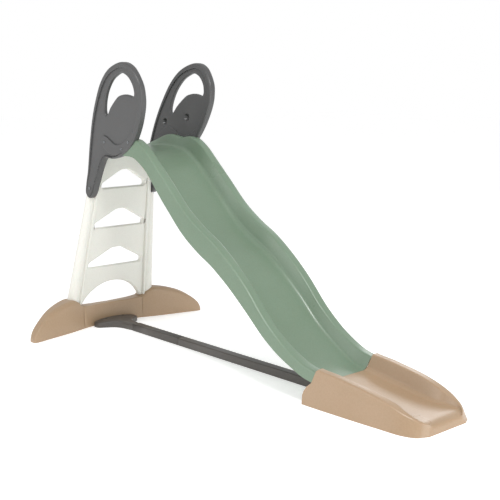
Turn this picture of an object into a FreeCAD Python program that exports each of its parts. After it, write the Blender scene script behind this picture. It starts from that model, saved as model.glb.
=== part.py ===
"""Wave slide for a garden: ladder, two handles, wave chute, exit section, base and ground brace.

Lengths are in millimetres. X runs down the slide, from the ladder to the exit, Y runs across it
with the slider's left hand at +Y, and Z is up. Positions along X are first measured from the line
through the tips of the two base feet, and moved at the end so that the origin is on the ground
under the middle of the slide's bounding box.
"""
import FreeCAD, Part
import math
import os

# ---- driving dimensions -------------------------------------------------------------------------
ORIGIN_X = 1077.0          # middle of the whole length, measured from the foot tips

WALL = 4.5                 # wall of the moulded chute and exit section
SHELL = 4.0                # wall of the moulded base
GAP = 0.4                  # room between parts that plug together
PLUG_GAP = 1.0             # room round the plug of a foot, and behind the brace's head
SLIVER = 0.05              # smallest space left between faces that meet
WIDE = 400.0               # half size of cutting shapes: wider than the whole body

# Wave chute: height of the rim, depth of the floor under it, depth of the outer skirt under it
# and half width over the rim, each against X.
RIM_HEIGHT = [(40, 1044), (105, 1068), (160, 1087), (220, 1109), (280, 1119), (374, 1105), (430, 1113),
              (480, 1106), (560, 1058), (618, 1006), (736, 900), (855, 791), (973, 712), (1091, 649),
              (1209, 565), (1327, 462), (1445, 339), (1564, 245), (1682, 183), (1776, 160), (1850, 147)]
FLOOR_DEPTH = [(40, 13), (105, 14), (160, 31), (220, 53), (280, 63), (374, 58), (460, 88), (540, 97),
               (700, 97), (1093, 94), (1210, 91), (1323, 86), (1440, 75), (1520, 66), (1600, 61),
               (1850, 60)]
SKIRT_DEPTH = [(40, 34), (220, 78), (374, 84), (480, 100), (588, 104), (719, 122), (1093, 122), (1210, 117),
               (1323, 108), (1433, 86), (1540, 68), (1643, 56), (1850, 52)]
HALF_WIDTH = [(40, 212), (1500, 212), (1640, 209), (1850, 203)]
RIM_WIDTH = 47.0           # flat top of the side rim
FLOOR_HALF = 138.0         # half width of the floor, to the foot of the walls
FLOOR_FILLET = 34.0        # floor to wall
RIM_FILLET = 11.0
SKIRT_FLARE = 5.0          # how far the skirt leans out below the rim
CHUTE_START = 40.0
CHUTE_END = 1776.0         # joint line with the exit section, at rim height
CHUTE_LOFT_END = 1850.0    # the loft runs on past the joint line, which is cut afterwards
CHUTE_STATIONS = 28
FULL_HALF = 212.0          # half width that the floor's width is given for
APRON_HALF, APRON_LOW, APRON_HIGH, APRON_THICK = 150.0, 990.0, 1031.0, 4.0
JOINT_LEAN = 14 / 60       # run in X of the joint line for each unit of height: square to the slope

# Exit section
EXIT_BACK = 1702.0
EXIT_NOSE = 2330.0
EXIT_RIM = [(1702, 190), (1776, 172), (1875, 163), (1950, 153), (2040, 140), (2108, 126), (2165, 110),
            (2230, 86), (2290, 62), (2330, 40)]
EXIT_FLOOR = [(1702, 118), (1776, 100), (1875, 84), (1950, 74), (2040, 64), (2108, 58), (2165, 54),
              (2230, 51), (2290, 47), (2330, 36)]
EXIT_HALF = [(1702, 221), (2000, 212), (2150, 205), (2235, 200), (2285, 184), (2310, 164), (2330, 120)]
EXIT_TOP_HALF = [(1702, 209), (1776, 206), (2000, 198), (2150, 186), (2225, 172), (2275, 148),
                 (2310, 116), (2330, 76)]
EXIT_STATIONS = 15

# Ladder: two round rails joined by a panel with three windows and a bottom arch
RAIL_FOOT = FreeCAD.Vector(-112.6, 256.6, 160)     # left rail's centre line, low point
RAIL_TOP = FreeCAD.Vector(63.0, 182.5, 975)        # left rail's centre line, top
RAIL_FOOT_RADIUS = 36.0
RAIL_TOP_RADIUS = 23.0
RAIL_PLUG = 5.0            # how much slimmer the plug below a rail is
PLUG_DEPTH = 62.0
PANEL_TOP = 1020.0
PANEL_BOTTOM = 134.0
PANEL_THICK = 52.0
PANEL_LEAN = 0.2115        # run in X for each unit of height
PANEL_FRONT_AT_GROUND = -112.5
PANEL_HALF = [(134, 240), (1030, 148)]
FLANGE_HALF = [(134, 218), (1030, 140)]
RECESS_DEPTH = [(134, 20), (1030, 6)]
WINDOWS = [(355, 184, 106), (589, 171, 102), (819, 149, 99)]   # sill height, half width, rise
WINDOW_RADII = [12, 20, 80]            # at the sill, at the cheek, beside the crown
CHEEK_DRAFT = 3.0
CHEEK_SHARE = 0.26         # height of a window's cheek, as a share of its rise
CROWN_SHARE = 0.17         # half width of the blunt crown, as a share of the half width
ARCH_RADIUS = 229.0
ARCH_CENTRE = 28.0

# Handles: outline seen from the side, and hand hole
HANDLE_OUTLINE = [(3, 798), (5, 855), (16, 912), (33, 1010), (52, 1082), (91, 1194), (144, 1303), (215, 1406),
                  (303, 1474), (420, 1505), (507, 1480), (566, 1406), (579, 1335), (569, 1269), (527, 1176),
                  (462, 1091), (374, 1029), (270, 1000), (196, 1003), (150, 945), (113, 859), (84, 790),
                  (44, 769)]
RIM_INNER = [(403, 1449), (313, 1411), (251, 1342), (215, 1262), (236, 1222), (262, 1150), (304, 1092),
             (372, 1073), (440, 1100), (485, 1170), (501, 1260), (501, 1352), (472, 1418)]
DISC_CENTRE = (388.0, 1200.0)
DISC_RADII = (148.0, 139.0)
HANDLE_MIDDLE = [(1520, 243.5), (1200, 214.7), (1080, 205), (1000, 201), (900, 202), (760, 210)]
HANDLE_THICK = 38.0
HANDLE_SPAN = (100.0, 330.0)   # Y range that the left handle's bent plate stays inside
HANDLE_REACH = (-50.0, 750.0)  # X range of the same
PLATE_RECESS = 6.0         # how deep the plate inside the rim lies
TAIL_LEDGE = 800.0         # height above which the tail covers the back of the rail

# Base
BASE_FRONT = [(0, -100), (150, -88), (205, -74), (300, -44), (400, -20), (480, -2), (550, 15), (584, 20)]
BASE_BACK = [(0, -165), (205, -172), (300, -162), (400, -130), (500, -84), (584, -38)]
BASE_TOP = [(0, 122), (205, 130), (240, 160), (280, 178), (330, 175), (400, 160), (460, 137), (520, 98),
            (560, 62), (584, 28)]
SEAM = 205.0
FOOT_TIP = 584.0
SPIGOT = 38.0
SPIGOT_TOP = 118.0
TONGUE_LOW, TONGUE_HIGH = 6.0, 14.0    # tongue of the crossbar under the brace's head
TONGUE_REACH = 44.0

# Brace
BAR_HALF = 29.0
BAR_TOP_HALF = 25.0
BAR_HEIGHT = 40.0
BAR_EDGE = 7.0
BAR_START = 180.0
LEAF_END = 190.0
LEAF_HALF = 137.0          # half width of the leaf where it meets the crossbar
LEAF_HEIGHT = 38.0
SPLICE = 565.0
LAP = 50.0
BAR_END = 1800.0
HEAD_OUTLINE = [(-70, 143), (-33, 133), (-10, 98), (15, 63), (56, 40), (116, 31)]
HEAD_TONGUE = 95.0

# Shelf and ribs inside the exit section
SHELF = 4.0
SHELF_HALF = 112.0
SHELF_START = 1712.0
SHELF_END = 1792.0
RIB = 4.0
RIB_TOP = 93.0
LIP_LOW = 84.0             # underside of the lip that joins the shelf to the floor of the exit
RIB_Y = BAR_HALF + GAP + RIB / 2
EXIT_BACK_CUT = [(1690, 40), (1702, 45), (1723, 84), (1752, 108), (1752, 140), (1690, 140)]

# Fasteners: places and sizes
HANDLE_SCREWS = [(202, 1087), (357, 1057), (424, 1095)]
HANDLE_SCREW_LENGTH = 56.0
TAIL_SCREW_LENGTH = 48.0
RAIL_FOOT_SCREW_LENGTH = 32.0
CROSSBAR_SCREW_LENGTH = 18.0
HEAD_SCREW_LENGTH = 17.0
SPLICE_SCREW_LENGTH = 26.0
BRACE_EXIT_SCREW_LENGTH = 20.0
EXIT_SCREW_LENGTH = 10.0
PLATFORM_SCREW_LENGTH = 30.0
HEAD_SINK = 0.9            # how far a handle screw's head stands off the curved face
TAIL_SCREW = (45, 825)
BOSS_RADIUS = 10.0
INSERT_RADIUS = 5.0
INSERT_LENGTH = 12.0
PLATFORM_SCREW_Y = 100.0
PLATFORM_SCREW_Z = 1004.0
EXIT_SCREW_X = 1742.0
EXIT_SCREW_Y = (-95, -50, 50, 95)
BRACE_SCREW_X = 1752.0
BRACE_SCREW_Z = 20.0
FOOT_SCREW_Y = 262.0
FOOT_SCREW_Z = 96.0
BAR_SCREW_Y = SEAM - SPIGOT / 2
BAR_SCREW_Z = (38, 84)
PAD_RADIUS = 9.0
HEAD_SCREW = (-74, 58)
HEAD_SEAT = 26.0
SPLICE_SEAT = 30.0
SCREW = {"shank": 2.5, "head": 5.5, "rise": 3.0}
BIG_SCREW = {"shank": 3.0, "head": 7.0, "rise": 3.6}
WASHER = {"radius": 8.0, "thick": 1.5}

os.makedirs("parts", exist_ok=True)


# ---- helpers ------------------------------------------------------------------------------------
def vec(x, y, z):
    return FreeCAD.Vector(x, y, z)


def along(table, x):
    """Value at x of the smooth line through a table's (x, value) pairs."""
    if x <= table[0][0]:
        return float(table[0][1])
    if x >= table[-1][0]:
        return float(table[-1][1])
    slopes = []
    for index in range(len(table)):
        before, after = table[max(index - 1, 0)], table[min(index + 1, len(table) - 1)]
        slopes.append((after[1] - before[1]) / (after[0] - before[0]))
    for index in range(len(table) - 1):
        (x0, y0), (x1, y1) = table[index], table[index + 1]
        if x <= x1:
            span = x1 - x0
            t = (x - x0) / span
            return ((2 * t**3 - 3 * t**2 + 1) * y0 + (t**3 - 2 * t**2 + t) * span * slopes[index]
                    + (3 * t**2 - 2 * t**3) * y1 + (t**3 - t**2) * span * slopes[index + 1])


def even(start, stop, count):
    """Evenly spaced values from start to stop."""
    return [start + (stop - start) * index / (count - 1) for index in range(count)]


def rounded_wire(corners, radii):
    """Closed wire through flat corners, each rounded to its own radius."""
    edges, last = [], None
    count = len(corners)
    joints = []
    for index, corner in enumerate(corners):
        back = (corners[index - 1] - corner).normalize()
        ahead = (corners[(index + 1) % count] - corner).normalize()
        radius = radii[index]
        half = back.getAngle(ahead) / 2
        reach = radius / math.tan(half)
        middle = corner + (back + ahead).normalize() * (radius / math.sin(half) - radius)
        joints.append((corner + back * reach, middle, corner + ahead * reach, radius))
    last = joints[-1][2]
    for start, middle, end, radius in joints:
        edges.append(Part.makeLine(last, start))
        if radius > 0:
            edges.append(Part.Arc(start, middle, end).toShape())
        last = end
    return Part.Wire(edges)


def mirrored(shape):
    """The same shape on the other side of the slide."""
    return shape.mirror(vec(0, 0, 0), vec(0, 1, 0))


def block(low, high):
    size = [high[axis] - low[axis] for axis in range(3)]
    return Part.makeBox(size[0], size[1], size[2], vec(*low))


def rod(radius, start, end):
    """Round bar between two points."""
    axis = end - start
    return Part.makeCylinder(radius, axis.Length, start, axis)


def placed(shape, at, direction):
    """Copy of a shape made along +Z, turned to a direction and moved to a point."""
    turn = FreeCAD.Rotation(vec(0, 0, 1), direction)
    copy = shape.copy()
    copy.Placement = FreeCAD.Placement(at, turn)
    return copy


def screw(size, length):
    """Pan-head screw: the head's underside is at 0, the shank runs towards -Z."""
    head = Part.makeCylinder(size["head"], size["rise"])
    head = head.makeFillet(size["rise"] * 0.6, [edge for edge in head.Edges
                           if abs(edge.BoundBox.ZMin - size["rise"]) < SLIVER
                           and edge.BoundBox.ZLength < SLIVER])
    slot_length, slot_width = size["head"] * 1.1, size["head"] * 0.26
    for turn in (0, 90):
        low = vec(-slot_length / 2, -slot_width / 2, size["rise"] * 0.4)
        slot = Part.makeBox(slot_length, slot_width, size["rise"], low)
        slot.rotate(vec(0, 0, 0), vec(0, 0, 1), turn)
        head = head.cut(slot)
    shank = Part.makeCylinder(size["shank"], length - size["shank"], vec(0, 0, -length + size["shank"]))
    point = Part.makeCone(size["shank"] * 0.25, size["shank"], size["shank"], vec(0, 0, -length))
    return head.fuse([shank, point]).removeSplitter()


def screw_hole(size, length):
    """Space that a screw needs below its head."""
    return Part.makeCylinder(size["shank"] + SLIVER, length + 1, vec(0, 0, -length - 1))


def save(name, shape):
    """Write one sub-part, moved so that the origin is under the middle of the slide."""
    moved = shape.copy()
    moved.translate(vec(-ORIGIN_X, 0, 0))
    moved.exportStep("parts/" + name + ".step")
    print(name, len(moved.Solids), "solids", round(moved.Volume / 1000), "cm3", moved.isValid())


# ---- handles ------------------------------------------------------------------------------------
def smooth_loop(points):
    curve = Part.BSplineCurve()
    curve.interpolate(Points=[vec(x, 0, z) for x, z in points], PeriodicFlag=True)
    return Part.Wire([curve.toShape()])


def grown(points, extra):
    """Outline that runs clockwise, with each point moved outwards."""
    moved = []
    for index, (x, z) in enumerate(points):
        before, after = points[index - 1], points[(index + 1) % len(points)]
        run, rise = after[0] - before[0], after[1] - before[1]
        length = math.hypot(run, rise)
        moved.append((x - rise / length * extra, z + run / length * extra))
    return moved


def handle_slab(extra):
    """Bent plate that holds the handle: it leans out going up, and out again down the tail."""
    start, end = HANDLE_REACH
    inner = [vec(start, y - HANDLE_THICK / 2 - extra, z) for z, y in HANDLE_MIDDLE]
    outer = [vec(start, y + HANDLE_THICK / 2 + extra, z) for z, y in HANDLE_MIDDLE]
    sides = []
    for line in (inner, outer):
        curve = Part.BSplineCurve()
        curve.interpolate(line)
        sides.append(curve.toShape())
    ends = [Part.makeLine(inner[0], outer[0]), Part.makeLine(inner[-1], outer[-1])]
    face = Part.Face(Part.Wire(Part.__sortEdges__(sides + ends)))
    return face.extrude(vec(end - start, 0, 0))


def handle_prism(wire, extra=0):
    """Straight prism across the handle's whole span."""
    low, high = HANDLE_SPAN[0] - extra, HANDLE_SPAN[1] + extra
    prism = Part.Face(wire).extrude(vec(0, high - low, 0))
    prism.translate(vec(0, low, 0))
    return prism


def handle_hole():
    """Hand hole: the space inside the rim, closed below by the round disc."""
    disc = Part.Wire([Part.Ellipse(vec(DISC_CENTRE[0] + DISC_RADII[0], 0, DISC_CENTRE[1]),
                                   vec(DISC_CENTRE[0], 0, DISC_CENTRE[1] + DISC_RADII[1]),
                                   vec(DISC_CENTRE[0], 0, DISC_CENTRE[1])).toShape()])
    return handle_prism(smooth_loop(RIM_INNER)).cut(handle_prism(disc, 10))


def handle_face(z):
    """Y of the left handle's outer face at a height."""
    return along(sorted(HANDLE_MIDDLE), z) + HANDLE_THICK / 2


def handle_body():
    body = handle_prism(smooth_loop(HANDLE_OUTLINE)).cut(handle_hole()).common(handle_slab(0))
    skins = handle_slab(1).cut(handle_slab(-PLATE_RECESS))
    body = body.cut(handle_prism(smooth_loop(RIM_INNER)).common(skins)).removeSplitter()
    for x, z in HANDLE_SCREWS + [TAIL_SCREW]:
        at = vec(x, handle_face(z) + HANDLE_THICK, z)
        body = body.cut(placed(screw_hole(BIG_SCREW, 3 * HANDLE_THICK), at, vec(0, 1, 0)))
    return body


def handle_pocket(extra):
    """Space that the handle takes, a little larger all round, for the parts it fits against."""
    return handle_prism(smooth_loop(grown(HANDLE_OUTLINE, extra))).common(handle_slab(extra))


# ---- chute --------------------------------------------------------------------------------------
CHUTE_XS = even(CHUTE_START, CHUTE_LOFT_END, CHUTE_STATIONS)


def chute_section(x):
    """Upright cut through the chute: floor, walls, rolled rim and outer skirt."""
    rim, depth, skirt = along(RIM_HEIGHT, x), along(FLOOR_DEPTH, x), along(SKIRT_DEPTH, x)
    half = along(HALF_WIDTH, x)
    slope = (along(RIM_HEIGHT, x + 5) - along(RIM_HEIGHT, x - 5)) / 10
    thick = WALL * math.sqrt(1 + slope**2)
    floor, inner = rim - depth, half - RIM_WIDTH
    foot = FLOOR_HALF - (FULL_HALF - half)
    fillet, bend = min(FLOOR_FILLET, depth * 0.45), min(RIM_FILLET, depth * 0.3)
    top = [(foot, floor, fillet), (inner, rim, bend), (half, rim - 2, bend),
           (half + SKIRT_FLARE, rim - skirt, 0)]
    under = [(half + SKIRT_FLARE - WALL, rim - skirt, 0), (half - WALL, rim - 2 - thick, bend - 3),
             (inner + WALL, rim - thick, bend - 3), (foot + WALL * 0.6, floor - thick, fillet)]
    side = top + under
    corners = [vec(x, y, z) for y, z, radius in side] + [vec(x, -y, z) for y, z, radius in reversed(side)]
    radii = [radius for y, z, radius in side] + [radius for y, z, radius in reversed(side)]
    return rounded_wire(corners, radii)


def joint_block(start, stop):
    """Everything between two lines square to the slope, given by their X at rim height."""
    height = along(RIM_HEIGHT, CHUTE_END)
    corners = [vec(x + JOINT_LEAN * (z - height), -WIDE, z) for x, z in
               ((start, -WIDE), (stop, -WIDE), (stop, WIDE), (start, WIDE))]
    return Part.Face(Part.makePolygon(corners + corners[:1])).extrude(vec(0, 2 * WIDE, 0))


def chute():
    body = Part.makeLoft([chute_section(x) for x in CHUTE_XS], True, False)
    body = body.cut(joint_block(CHUTE_END, EXIT_NOSE))
    boss_set = []
    for x, z in HANDLE_SCREWS:
        rim, depth = along(RIM_HEIGHT, x), along(FLOOR_DEPTH, x)
        wall_y = FLOOR_HALF + (FULL_HALF - RIM_WIDTH - FLOOR_HALF) * (z - rim + depth) / depth + WALL / 2
        outer_y = handle_face(z) - HANDLE_THICK - 2 * GAP
        boss = rod(BOSS_RADIUS, vec(x, wall_y, z), vec(x, outer_y, z))
        bore = rod(INSERT_RADIUS + SLIVER, vec(x, outer_y - INSERT_LENGTH, z), vec(x, outer_y + 1, z))
        pilot = rod(BIG_SCREW["shank"] + SLIVER, vec(x, handle_face(z) - HANDLE_SCREW_LENGTH - 1, z),
                    vec(x, outer_y, z))
        boss_set.append(boss.cut(bore).cut(pilot))
    apron = block((CHUTE_START, -APRON_HALF, APRON_LOW),
                  (CHUTE_START + APRON_THICK, APRON_HALF, APRON_HIGH))
    body = body.fuse(boss_set + [mirrored(boss) for boss in boss_set] + [apron])
    for pocket in (handle_pocket(GAP), mirrored(handle_pocket(GAP))):
        body = body.cut(pocket)
    for y in (-PLATFORM_SCREW_Y, PLATFORM_SCREW_Y):
        at = vec(CHUTE_START, y, PLATFORM_SCREW_Z)
        body = body.cut(rod(SCREW["shank"] + SLIVER, at - vec(10, 0, 0), at + vec(20, 0, 0)))
    for at, away in exit_screw_seats():
        body = body.cut(rod(SCREW["shank"] + SLIVER, at - away * 20, at + away * 5))
    return body


# ---- exit section -------------------------------------------------------------------------------
def exit_screw_seats():
    """Places on the shelf's underside for the screws that hold the chute, with the way they face."""
    x = EXIT_SCREW_X
    slope = (along(RIM_HEIGHT, x + 5) - along(RIM_HEIGHT, x - 5)) / 10
    away = vec(slope, 0, -1).normalize()
    floor = along(RIM_HEIGHT, x) - along(FLOOR_DEPTH, x)
    z = floor - WALL * 1.05 - PLUG_GAP - SHELF
    return [(vec(x, y, z), away) for y in EXIT_SCREW_Y]


def exit_section_wire(x, inset):
    """Upright cut through the outside of the exit section, or of the hollow under it."""
    half, top_half, rim = (along(table, x) - inset for table in (EXIT_HALF, EXIT_TOP_HALF, EXIT_RIM))
    corners = [vec(x, -half, -inset), vec(x, half, -inset), vec(x, top_half, rim), vec(x, -top_half, rim)]
    bend = min(12.0, rim * 0.35)
    return rounded_wire(corners, [0, 0, bend, bend])


def exit_channel_wire(x, grow):
    """Upright cut through the sliding channel, grown by a wall to shape the underside."""
    rim, floor, top_half = along(EXIT_RIM, x), along(EXIT_FLOOR, x), along(EXIT_TOP_HALF, x)
    depth = rim - floor
    mouth = top_half - 42 * min(1, depth / 50) + grow
    foot = mouth - 26 * min(1, depth / 60)
    low = floor - grow
    corners = [vec(x, -foot, low), vec(x, foot, low), vec(x, mouth, rim + 1), vec(x, mouth, rim + 60),
               vec(x, -mouth, rim + 60), vec(x, -mouth, rim + 1)]
    bend = min(FLOOR_FILLET, depth * 0.4)
    return rounded_wire(corners, [bend, bend, 0, 0, 0, 0])


def chute_space(x):
    """Upright cut through the chute's end with everything above it: room kept clear for it."""
    rim, depth, skirt = along(RIM_HEIGHT, x), along(FLOOR_DEPTH, x), along(SKIRT_DEPTH, x)
    half = along(HALF_WIDTH, x)
    foot, inner = FLOOR_HALF - (FULL_HALF - half), half - RIM_WIDTH
    low = -WALL * 1.05 - PLUG_GAP
    side = half + SKIRT_FLARE + PLUG_GAP
    under = [(foot - 12, rim - depth + low), (inner - 6, rim - depth + low),
             (inner + WALL, rim - skirt - PLUG_GAP), (side, rim - skirt - PLUG_GAP), (side, rim + 80)]
    corners = [vec(x, y, z) for y, z in under] + [vec(x, -y, z) for y, z in reversed(under)]
    return Part.makePolygon(corners + corners[:1])


def shelf_wire(x):
    """Upright cut through the shelf that carries the chute's end."""
    top = along(RIM_HEIGHT, x) - along(FLOOR_DEPTH, x) - WALL * 1.05 - PLUG_GAP
    corners = [vec(x, -SHELF_HALF, top - SHELF), vec(x, SHELF_HALF, top - SHELF), vec(x, SHELF_HALF, top),
               vec(x, -SHELF_HALF, top)]
    return Part.makePolygon(corners + corners[:1])


def exit_section():
    xs = even(EXIT_BACK, EXIT_NOSE, EXIT_STATIONS)
    outside = Part.makeLoft([exit_section_wire(x, 0) for x in xs], True, False)
    hollow_xs = even(EXIT_BACK - 5, EXIT_NOSE - WALL * 2, EXIT_STATIONS)
    hollow = Part.makeLoft([exit_section_wire(x, WALL) for x in hollow_xs], True, False)
    channel_xs = even(CHUTE_END - 90, EXIT_NOSE + 10, EXIT_STATIONS)
    channel = Part.makeLoft([exit_channel_wire(x, 0) for x in channel_xs], True, False)
    underside = Part.makeLoft([exit_channel_wire(x, WALL) for x in channel_xs], True, False)
    skin = outside.cut(channel)
    shelf = Part.makeLoft([shelf_wire(x) for x in even(SHELF_START, SHELF_END, 5)], True, False)
    lip = block((CHUTE_END, -SHELF_HALF, LIP_LOW), (SHELF_END, SHELF_HALF, EXIT_RIM[0][1]))
    lip = lip.common(underside.cut(channel).fuse(shelf))
    lip = lip.fuse(block((CHUTE_END + 4, -SHELF_HALF, LIP_LOW + 4), (SHELF_END, SHELF_HALF, RIB_TOP + 3)))
    ribs = [block((SHELF_START, y - RIB / 2, 1), (SHELF_END, y + RIB / 2, RIB_TOP))
            for y in (-RIB_Y, RIB_Y)]
    inside = [shelf, lip] + [rib.common(skin) for rib in ribs]
    body = skin.cut(hollow.cut(underside)).fuse(inside)
    room = Part.makeLoft([chute_space(x) for x in CHUTE_XS[-5:]], True, False)
    body = body.cut(room.common(joint_block(EXIT_BACK - WIDE / 2, CHUTE_END + GAP)))
    corner = Part.makePolygon([vec(x, -WIDE, z) for x, z in EXIT_BACK_CUT + EXIT_BACK_CUT[:1]])
    body = body.cut(Part.Face(corner).extrude(vec(0, 2 * WIDE, 0)))
    body = body.cut(block((EXIT_BACK - 1, -BAR_HALF - GAP, -1),
                          (BAR_END + GAP, BAR_HALF + GAP, BAR_HEIGHT + GAP)))
    for y in (-1, 1):
        at = vec(BRACE_SCREW_X, y * (RIB_Y + RIB), BRACE_SCREW_Z)
        body = body.cut(rod(SCREW["shank"] + SLIVER, at, at - vec(0, y * 20, 0)))
    for at, away in exit_screw_seats():
        body = body.cut(rod(SCREW["shank"] + SLIVER, at - away * 20, at + away * 5))
    return body


# ---- ladder -------------------------------------------------------------------------------------
def rail_point(z):
    """Point on the left rail's centre line at a height."""
    share = (z - RAIL_FOOT.z) / (RAIL_TOP.z - RAIL_FOOT.z)
    return RAIL_FOOT + (RAIL_TOP - RAIL_FOOT) * share


def rail_radius(z):
    share = (z - RAIL_FOOT.z) / (RAIL_TOP.z - RAIL_FOOT.z)
    return RAIL_FOOT_RADIUS + (RAIL_TOP_RADIUS - RAIL_FOOT_RADIUS) * share


def rail(low, high, extra):
    """Tapered round rail between two heights, on the left side."""
    start, end = rail_point(low), rail_point(high)
    axis = end - start
    return Part.makeCone(rail_radius(low) + extra, rail_radius(high) + extra, axis.Length, start, axis)


def panel_front(z):
    return PANEL_FRONT_AT_GROUND + PANEL_LEAN * z


def slab(half_table, low, high, front_shift, back_shift):
    """Leaning plate across the ladder, from a front plane to a back plane."""
    wires = []
    for z in (low, high):
        half, front = along(half_table, z), panel_front(z) + front_shift[z == high]
        back = panel_front(z) - PANEL_THICK + back_shift
        corners = [vec(back, -half, z), vec(front, -half, z), vec(front, half, z), vec(back, half, z)]
        wires.append(Part.makePolygon(corners + corners[:1]))
    return Part.makeLoft(wires, True, True)


def window(sill, half, rise):
    """Opening above a tread: flat sill, low cheeks and a blunt pointed arch, with rounded corners."""
    right = [(half, sill), (half - CHEEK_DRAFT, sill + CHEEK_SHARE * rise),
             (CROWN_SHARE * half, sill + rise)]
    outline = right + [(-y, z) for y, z in reversed(right)]
    wire = rounded_wire([vec(-WIDE, y, z) for y, z in outline], WINDOW_RADII + WINDOW_RADII[::-1])
    return Part.Face(wire).extrude(vec(2 * WIDE, 0, 0))


def ladder():
    body = slab(PANEL_HALF, PANEL_BOTTOM, PANEL_TOP, (0, 0), 0)
    depths = [-along(RECESS_DEPTH, z) for z in (PANEL_BOTTOM, PANEL_TOP)]
    body = body.cut(slab(FLANGE_HALF, PANEL_BOTTOM, PANEL_TOP, (50, 50), PANEL_THICK).cut(
        slab(PANEL_HALF, PANEL_BOTTOM, PANEL_TOP, depths, -200)))
    plug = rail(PANEL_BOTTOM - PLUG_DEPTH, PANEL_BOTTOM + 1, -RAIL_PLUG)
    for piece in (rail(PANEL_BOTTOM, RAIL_TOP.z, 0), plug):
        body = body.fuse([piece, mirrored(piece)])
    arch = rod(ARCH_RADIUS, vec(-WIDE, 0, ARCH_CENTRE), vec(WIDE, 0, ARCH_CENTRE))
    for opening in [arch] + [window(*sizes) for sizes in WINDOWS]:
        body = body.cut(opening)
    behind = handle_slab(GAP).common(block((-WIDE, 0, TAIL_LEDGE), (CHUTE_START - 10, WIDE, PANEL_TOP)))
    for pocket in (handle_pocket(GAP), behind):
        body = body.cut(pocket).cut(mirrored(pocket))
    x, z = TAIL_SCREW
    for side in (-1, 1):
        body = body.cut(rod(BIG_SCREW["shank"] + SLIVER, vec(x, side * 300, z), vec(x, side * 168, z)))
        at = vec(CHUTE_START, side * PLATFORM_SCREW_Y, PLATFORM_SCREW_Z)
        body = body.cut(rod(SCREW["shank"] + SLIVER, at, at + vec(32, 0, 0)))
        low = vec(rear_seat(FOOT_SCREW_Y), side * FOOT_SCREW_Y, FOOT_SCREW_Z)
        body = body.cut(rod(SCREW["shank"] + SLIVER, low, low + vec(33, 0, 0)))
    return body


def rail_socket():
    """Room that a base foot leaves for the left rail and its plug."""
    room = rail(PANEL_BOTTOM - GAP, 260, GAP)
    plug = rail(PANEL_BOTTOM - PLUG_DEPTH - GAP, PANEL_BOTTOM, GAP - RAIL_PLUG)
    edge = slab([(134, 240 + GAP), (1030, 148 + GAP)], PANEL_BOTTOM, 260, (GAP, GAP), -GAP)
    return room.fuse([plug, edge.common(block((-400, SEAM - 60, PANEL_BOTTOM - GAP), (400, 400, 260)))])


# ---- base ---------------------------------------------------------------------------------------
def base_wire(y, inset):
    """Cut along X through the base at a distance from the middle."""
    front, back = along(BASE_FRONT, abs(y)) - inset, along(BASE_BACK, abs(y)) + inset
    top = along(BASE_TOP, abs(y)) - inset
    low = -abs(inset)
    draft = 6 * min(1, top / 100)
    corners = [vec(back, y, low), vec(front, y, low), vec(front - draft, y, top), vec(back + draft, y, top)]
    bend = min(20.0, top * 0.4)
    return rounded_wire(corners, [0, 0, bend, bend])


def base_loft(ys, inset):
    return Part.makeLoft([base_wire(y, inset) for y in ys], True, False)


def spigot(extra):
    """Plug at the inner end of the left foot that slides into the crossbar."""
    inset = SHELL + PLUG_GAP - extra
    low, high = SEAM - SPIGOT, SEAM + SHELL + 1
    room = block((-WIDE, low - extra, 0), (WIDE, high, SPIGOT_TOP))
    return base_loft(even(low - extra, high, 3), inset).common(room)


def base_crossbar():
    shell = base_loft(even(-SEAM, SEAM, 9), 0).cut(base_loft(even(-SEAM - 1, SEAM + 1, 9), SHELL))
    front = along(BASE_FRONT, 0)
    tongue = block((front - 10, -HEAD_TONGUE, TONGUE_LOW), (front + TONGUE_REACH, HEAD_TONGUE, TONGUE_HIGH))
    pads = [rear_pad(y * BAR_SCREW_Y, z) for y in (-1, 1) for z in BAR_SCREW_Z]
    body = shell.fuse([tongue] + [pad for pad, hole in pads]).removeSplitter()
    for pad, hole in pads:
        body = body.cut(hole)
    x, y = HEAD_SCREW
    for side in (-1, 1):
        body = body.cut(rod(SCREW["shank"] + SLIVER, vec(x, side * y, 0), vec(x, side * y, 20)))
    return body


def rear_seat(y):
    """X of a screw seat on the back of the base."""
    return along(BASE_BACK, abs(y)) - 1.0


def rear_pad(y, z):
    """Moulded pad for a screw head on the back of the base, and the hole through it."""
    x = rear_seat(y)
    pad = rod(PAD_RADIUS, vec(x, y, z), vec(x + SHELL + 1, y, z))
    return pad, rod(SCREW["shank"] + SLIVER, vec(x - 1, y, z), vec(x + 60, y, z))


def base_foot():
    ys = [SEAM] + even(225, 560, 8) + [FOOT_TIP]
    inner_ys = [SEAM + SHELL] + even(229, 550, 8) + [FOOT_TIP - 2 * SHELL]
    outside = base_loft(ys, 0)
    body = outside.cut(base_loft(inner_ys, SHELL))
    sleeve = rail(PANEL_BOTTOM - PLUG_DEPTH - 6, 240, SHELL).common(outside)
    pad, hole = rear_pad(FOOT_SCREW_Y, FOOT_SCREW_Z)
    body = body.fuse([sleeve, spigot(0), pad]).cut(rail_socket()).cut(hole)
    for z in BAR_SCREW_Z:
        body = body.cut(rear_pad(BAR_SCREW_Y, z)[1])
    return body


# ---- brace --------------------------------------------------------------------------------------
def bar(start, end, low, high):
    """Length of the ground bar between two heights."""
    corners = [vec(start, -BAR_HALF, 0), vec(start, BAR_HALF, 0), vec(start, BAR_TOP_HALF, BAR_HEIGHT),
               vec(start, -BAR_TOP_HALF, BAR_HEIGHT)]
    full = Part.Face(rounded_wire(corners, [0, 0, BAR_EDGE, BAR_EDGE])).extrude(vec(end - start, 0, 0))
    return full.common(block((start - 1, -100, low), (end + 1, 100, high)))


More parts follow.
